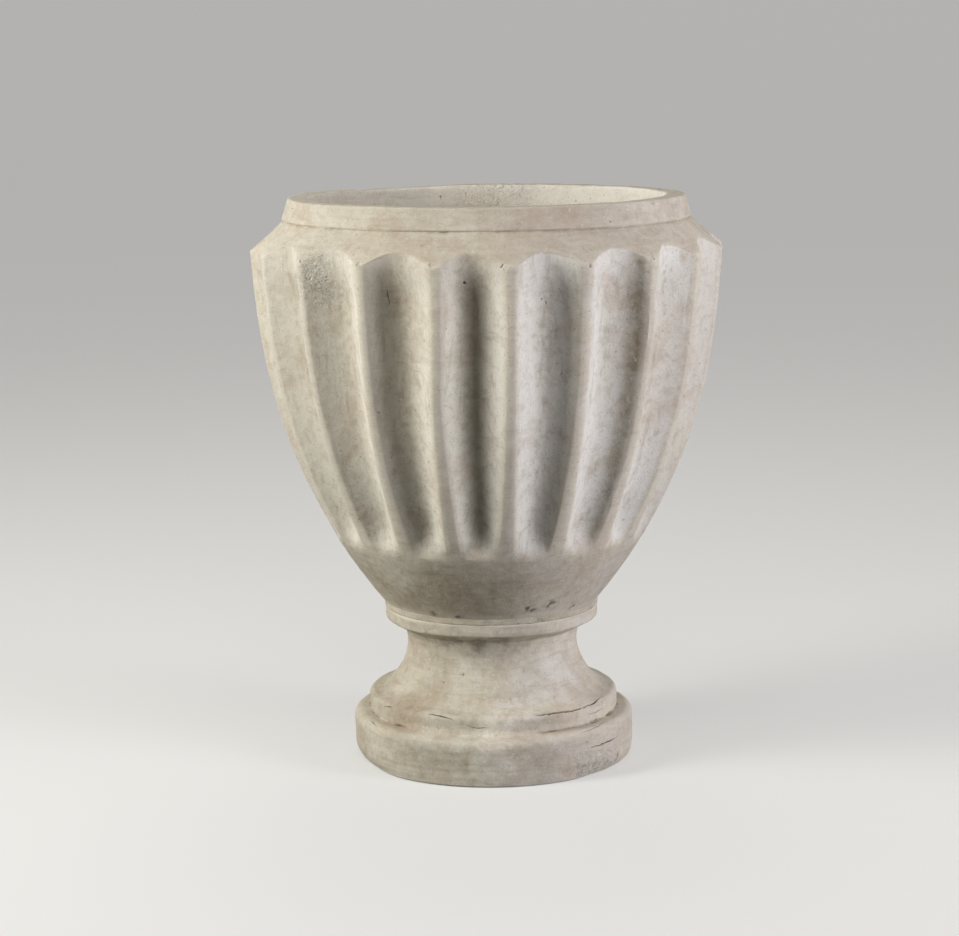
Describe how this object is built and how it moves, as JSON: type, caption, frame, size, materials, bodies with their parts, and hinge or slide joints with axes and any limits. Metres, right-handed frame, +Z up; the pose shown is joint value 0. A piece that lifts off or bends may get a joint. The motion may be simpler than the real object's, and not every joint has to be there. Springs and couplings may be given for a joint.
{
  "type": "garden urn",
  "caption": "Cast-stone garden urn: a fluted bowl with a banded rim and sloping shoulder, on a waisted round foot, held by a hidden tie rod.",
  "frame": {"origin": "middle of the foot's underside, on the surface the urn stands on", "axes": "+Z up along the axis the castings are turned about; -Y is the side the picture shows"},
  "size_m": [0.4724, 0.4724, 0.572],
  "materials": {
    "cast_stone": "matt off-white cast stone with fine pits, tooling marks, cream and lilac-grey mottling and brown dirt in the hollows",
    "mortar": "rough pale mortar, struck nearly flush with the collar and dirty along its upper edge",
    "steel": "zinc-plated steel, dulled, with a little rust",
    "rubber": "matt black rubber"
  },
  "bodies": {
    "root": {"bowl": "cast_stone", "foot": "cast_stone", "mortar_bed": "mortar", "tie_rod": "steel", "upper_gasket": "rubber", "upper_washer": "steel", "upper_nut": "steel", "cross_bar": "steel", "lower_washer": "steel", "lower_nut": "steel"}
  },
  "joints": []
}
